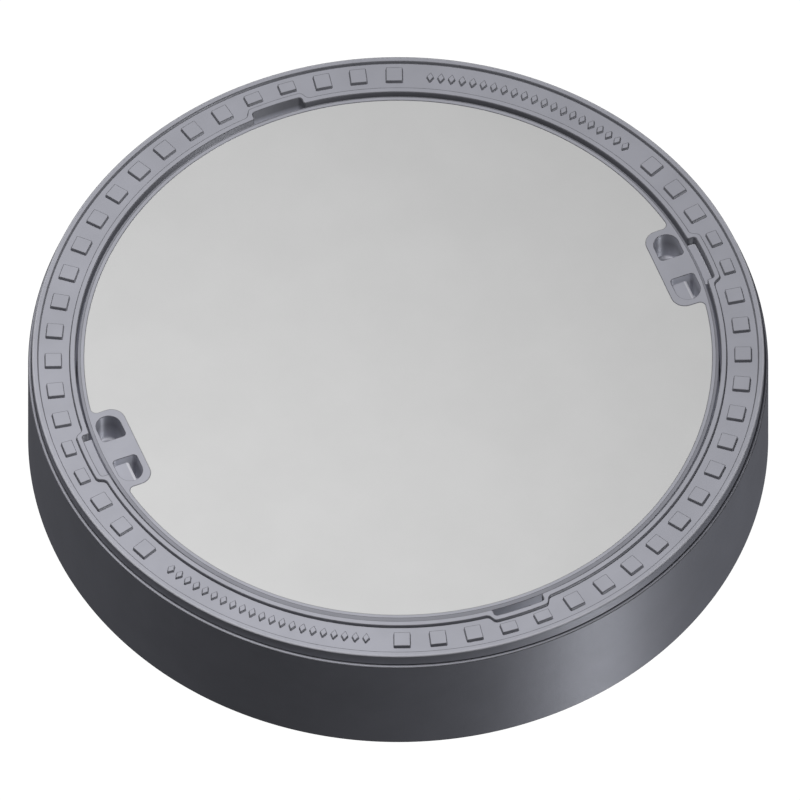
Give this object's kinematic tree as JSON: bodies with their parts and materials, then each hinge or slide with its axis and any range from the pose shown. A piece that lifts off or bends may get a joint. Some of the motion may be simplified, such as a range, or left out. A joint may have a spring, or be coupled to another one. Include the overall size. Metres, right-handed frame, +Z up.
{
  "type": "manhole cover and frame",
  "caption": "Round street manhole cover, a concrete-filled cast-iron lid with lifting pockets that lies loose in a tall round frame and lifts straight out.",
  "frame": {"origin": "centre of the flat underside of the frame", "axes": "+Z up, out of the road; +X towards one of the cover's two bosses; Y along the line of the two empty notches"},
  "size_m": [0.785, 0.785, 0.153],
  "materials": {
    "cast_iron": "as-cast grey iron with a fine sand texture, lightly worn on the raised edges",
    "infill_concrete": "smooth pale troweled concrete with fine pores",
    "frame_concrete": "rough grey concrete, open at the underside",
    "seat_rubber": "matt black rubber",
    "reinforcing_steel": "dull rolled bar with light rust",
    "spacer_mortar": "fine cast mortar"
  },
  "bodies": {
    "frame": {"frame_casting": "cast_iron", "frame_concrete": "frame_concrete", "seat_damping_ring": "seat_rubber", "outer_hoop_lower": "reinforcing_steel", "outer_hoop_upper": "reinforcing_steel", "inner_hoop_lower": "reinforcing_steel", "inner_hoop_upper": "reinforcing_steel", "stirrup_1": "reinforcing_steel", "stirrup_2": "reinforcing_steel", "stirrup_3": "reinforcing_steel", "stirrup_4": "reinforcing_steel", "stirrup_5": "reinforcing_steel", "stirrup_6": "reinforcing_steel", "stirrup_7": "reinforcing_steel", "stirrup_8": "reinforcing_steel", "stirrup_9": "reinforcing_steel", "stirrup_10": "reinforcing_steel", "stirrup_11": "reinforcing_steel", "stirrup_12": "reinforcing_steel"},
    "cover": {"cover_casting": "cast_iron", "cover_concrete": "infill_concrete", "mesh_long_1": "reinforcing_steel", "mesh_long_2": "reinforcing_steel", "mesh_long_3": "reinforcing_steel", "mesh_long_4": "reinforcing_steel", "mesh_long_5": "reinforcing_steel", "mesh_cross_1": "reinforcing_steel", "mesh_cross_2": "reinforcing_steel", "mesh_cross_3": "reinforcing_steel", "mesh_cross_4": "reinforcing_steel", "mesh_cross_5": "reinforcing_steel", "mesh_spacer_1": "spacer_mortar", "mesh_spacer_2": "spacer_mortar", "mesh_spacer_3": "spacer_mortar", "mesh_spacer_4": "spacer_mortar"}
  },
  "joints": [
    {"name": "cover_lift", "type": "slide", "parent": "frame", "child": "cover", "axis": [0, 0, 1], "range_m": [0, 0.12]}
  ]
}
